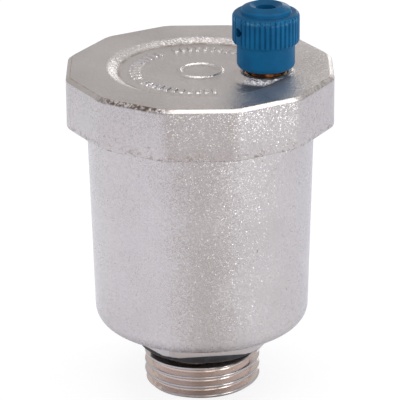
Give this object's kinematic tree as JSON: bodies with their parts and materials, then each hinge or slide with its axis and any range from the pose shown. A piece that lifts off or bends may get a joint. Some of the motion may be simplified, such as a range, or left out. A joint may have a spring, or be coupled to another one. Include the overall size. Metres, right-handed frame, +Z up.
{
  "type": "air release valve",
  "caption": "Automatic float air vent: plated brass cup with a male pipe thread, twelve-sided screwed lid, off-centre jet and a knurled plastic vent cap.",
  "frame": {"origin": "centre of the inlet thread's lower end, which is the lowest point of the valve", "axes": "+Z up along the cup's axis, +X from that axis towards the jet and the vent cap"},
  "size_m": [0.0486, 0.0486, 0.0724],
  "materials": {
    "plated_body": "nickel plated forged brass with a fine blasted grain",
    "plated_lid": "nickel plated forged brass with a fine blasted grain",
    "turned_brass": "turned, bright",
    "blue_plastic": "moulded, satin",
    "black_rubber": "moulded rubber",
    "stainless_steel": "drawn and stamped",
    "white_plastic": "moulded acetal",
    "float_plastic": "moulded polypropylene",
    "red_fibre": "pressed fibre"
  },
  "bodies": {
    "housing": {"body": "plated_body", "thread_seal": "black_rubber", "lid": "plated_lid", "lid_gasket": "black_rubber", "jet": "turned_brass", "jet_gasket": "red_fibre", "lever_bracket": "stainless_steel", "hinge_pin": "stainless_steel", "hinge_clip": "stainless_steel", "lever_spring": "stainless_steel"},
    "float": {"float_shell": "float_plastic", "float_base": "float_plastic", "link_pin": "stainless_steel"},
    "valve_lever": {"lever": "white_plastic", "valve_pad": "black_rubber"},
    "seal_carrier": {"cap_seal": "black_rubber"},
    "cap": {"vent_cap": "blue_plastic"}
  },
  "joints": [
    {"name": "float_lift", "type": "slide", "parent": "housing", "child": "float", "axis": [0, 0, 1], "range_m": [0, 0.005]},
    {"name": "lever_swing", "type": "hinge", "parent": "housing", "child": "valve_lever", "pos_m": [0.01503, 0, 0.05195], "axis": [0, 1, 0], "range_deg": [0, 18.4], "deforming": ["lever_spring"]},
    {"name": "cap_lift", "type": "slide", "parent": "housing", "child": "seal_carrier", "axis": [0, 0, 1], "range_m": [0, 0.002]},
    {"name": "cap_turn", "type": "hinge", "parent": "seal_carrier", "child": "cap", "pos_m": [0.01193, 0, 0.061], "axis": [0, 0, 1], "range_deg": [0, 720]}
  ],
  "couplings": [
    {"joint": "lever_swing", "follows": "float_lift", "rad_per_m": 64.214},
    {"joint": "cap_turn", "follows": "cap_lift", "rad_per_m": 6283.2}
  ]
}
